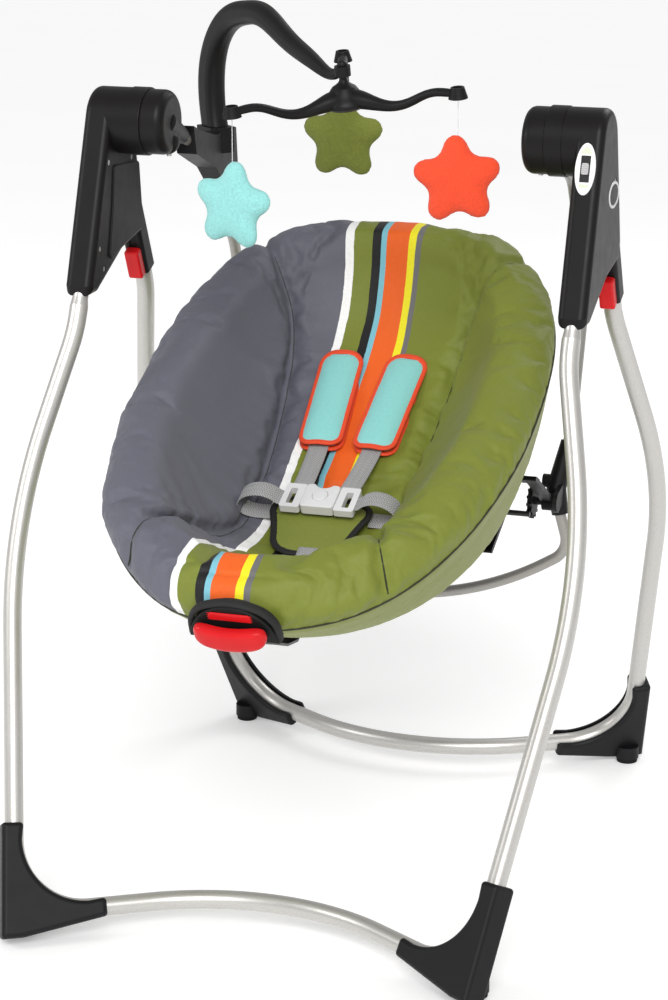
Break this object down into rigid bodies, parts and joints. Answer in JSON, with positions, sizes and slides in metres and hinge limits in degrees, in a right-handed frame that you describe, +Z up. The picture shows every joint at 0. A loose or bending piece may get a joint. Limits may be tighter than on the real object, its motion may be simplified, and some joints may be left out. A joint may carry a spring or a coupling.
{
  "type": "baby swing",
  "caption": "Battery-driven baby swing: folding A-frame stand with two motor housings, reclining padded seat with harness, and a turning mobile with plush stars.",
  "frame": {"origin": "on the floor, in the middle of the whole swing", "axes": "+Z up, -Y the way the baby faces, +X the swing's side with the speed control (right in a front view)"},
  "size_m": [0.6986, 0.8658, 1.0333],
  "materials": {
    "silver_tube": "satin silver-grey powder coat",
    "grey_tube": "satin warm grey paint",
    "boot_plastic": "moulded black, fine texture",
    "pad_rubber": "matt",
    "housing_plastic": "moulded dark charcoal, satin",
    "cover_plastic": "moulded charcoal, fine grain",
    "black_plastic": "moulded black, satin",
    "steel": "plain",
    "arm_paint": "satin warm grey paint",
    "bezel_white": "gloss white",
    "slider_grey": "satin grey",
    "gear_nylon": "natural nylon",
    "cell_wrap": "plain wrap",
    "red_plastic": "satin red",
    "shell_plastic": "moulded black",
    "cover_fabric": "woven polyester, striped",
    "handle_black": "black binding",
    "webbing": "grey woven webbing",
    "teal_fabric": "soft woven, orange-red binding",
    "green_fabric": "woven, black binding",
    "buckle_plastic": "satin silver-grey",
    "star_teal": "soft plush",
    "star_green": "soft plush",
    "star_orange": "soft plush",
    "clear_line": "clear nylon line"
  },
  "bodies": {
    "front_frame": {"front_lower_tube": "silver_tube", "front_leg_left": "silver_tube", "front_leg_right": "silver_tube", "front_foot_left": "boot_plastic", "front_foot_right": "boot_plastic", "front_foot_pads": "pad_rubber", "housing_outer_left": "housing_plastic", "housing_outer_right": "housing_plastic", "housing_inner_left": "housing_plastic", "housing_inner_right": "housing_plastic", "side_covers": "cover_plastic", "hub_rings": "housing_plastic", "rear_pivot_pins": "steel", "housing_screws": "steel", "control_bezel": "bezel_white", "motor": "steel", "battery_cells": "cell_wrap"},
    "rear_frame": {"rear_lower_tube": "silver_tube", "rear_leg_left": "silver_tube", "rear_leg_right": "silver_tube", "rear_sleeve_left": "black_plastic", "rear_sleeve_right": "black_plastic", "rear_foot_left": "boot_plastic", "rear_foot_right": "boot_plastic", "rear_foot_pads": "pad_rubber"},
    "fold_button_l": {"fold_button_left": "red_plastic"},
    "fold_button_r": {"fold_button_right": "red_plastic"},
    "speed_slider": {"speed_slider": "slider_grey"},
    "motor_pinion": {"motor_pinion": "gear_nylon"},
    "swing_frame": {"swing_tube_left": "grey_tube", "swing_tube_right": "grey_tube", "seat_tube": "grey_tube", "hub_cap_left": "housing_plastic", "hub_cap_right": "housing_plastic", "hub_axles": "steel", "hub_screws": "steel", "seat_mount_left": "black_plastic", "seat_mount_right": "black_plastic", "drive_gear": "gear_nylon", "mobile_clamp": "black_plastic"},
    "seat": {"seat_shell": "shell_plastic", "seat_pad": "cover_fabric", "recline_arms": "arm_paint", "handle_bezel": "handle_black", "harness_straps": "webbing", "shoulder_pads": "teal_fabric", "crotch_pad": "green_fabric", "buckle_body": "buckle_plastic", "buckle_clips": "buckle_plastic"},
    "recline_handle": {"recline_handle": "red_plastic", "release_link": "steel"},
    "buckle_button": {"buckle_button": "buckle_plastic"},
    "mobile_arm": {"mobile_arm": "black_plastic"},
    "mobile_hanger": {"mobile_hanger": "black_plastic"},
    "star_teal": {"star_teal": "star_teal", "string_teal": "clear_line"},
    "star_green": {"star_green": "star_green", "string_green": "clear_line"},
    "star_orange": {"star_orange": "star_orange", "string_orange": "clear_line"}
  },
  "joints": [
    {"name": "rear_fold", "type": "hinge", "parent": "front_frame", "child": "rear_frame", "pos_m": [0, 0.021, 0.85], "axis": [-1, 0, 0], "range_deg": [0, 32]},
    {"name": "fold_button_left_press", "type": "slide", "parent": "rear_frame", "child": "fold_button_l", "axis": [0, -0.4177, 0.9086], "range_m": [0, 0.005], "stiffness_N_per_m": 500, "springref_m": -0.003},
    {"name": "fold_button_right_press", "type": "slide", "parent": "rear_frame", "child": "fold_button_r", "axis": [0, -0.4177, 0.9086], "range_m": [0, 0.005], "stiffness_N_per_m": 500, "springref_m": -0.003},
    {"name": "speed_slider_move", "type": "slide", "parent": "front_frame", "child": "speed_slider", "axis": [0, 0.3372, 0.9414], "range_m": [-0.008, 0.008]},
    {"name": "swing", "type": "hinge", "parent": "front_frame", "child": "swing_frame", "pos_m": [0, -0.008, 0.898], "axis": [1, 0, 0], "range_deg": [-15, 15]},
    {"name": "pinion_turn", "type": "hinge", "parent": "front_frame", "child": "motor_pinion", "pos_m": [0.305, -0.0245, 0.876], "axis": [1, 0, 0], "range_deg": [-62, 62]},
    {"name": "seat_recline", "type": "hinge", "parent": "swing_frame", "child": "seat", "pos_m": [0, 0.15, 0.422], "axis": [1, 0, 0], "range_deg": [0, 18]},
    {"name": "recline_pull", "type": "slide", "parent": "seat", "child": "recline_handle", "axis": [0, -0.9022, -0.4313], "range_m": [0, 0.006], "stiffness_N_per_m": 900, "springref_m": -0.008},
    {"name": "buckle_press", "type": "slide", "parent": "seat", "child": "buckle_button", "axis": [0, 0.4313, -0.9022], "range_m": [0, 0.003], "stiffness_N_per_m": 600, "springref_m": -0.002},
    {"name": "mobile_lift", "type": "slide", "parent": "swing_frame", "child": "mobile_arm", "axis": [0, 0, 1], "range_m": [0, 0.03]},
    {"name": "mobile_spin", "type": "hinge", "parent": "mobile_arm", "child": "mobile_hanger", "pos_m": [0, -0.015, 0.937], "axis": [-0.0446, -0.1346, 0.9899], "continuous": true},
    {"name": "star_teal_sway", "type": "hinge", "parent": "mobile_hanger", "child": "star_teal", "pos_m": [-0.09993, -0.12648, 0.92502], "axis": [-0.6691, -0.7431, 0], "range_deg": [-20, 20]},
    {"name": "star_green_sway", "type": "hinge", "parent": "mobile_hanger", "child": "star_green", "pos_m": [-0.04751, 0.12534, 0.96163], "axis": [-0.309, 0.9511, 0], "range_deg": [-20, 20]},
    {"name": "star_orange_sway", "type": "hinge", "parent": "mobile_hanger", "child": "star_orange", "pos_m": [0.14642, -0.04693, 0.94692], "axis": [0.9781, -0.2079, 0], "range_deg": [-20, 20]}
  ],
  "couplings": [
    {"joint": "pinion_turn", "follows": "swing", "ratio": -4}
  ]
}
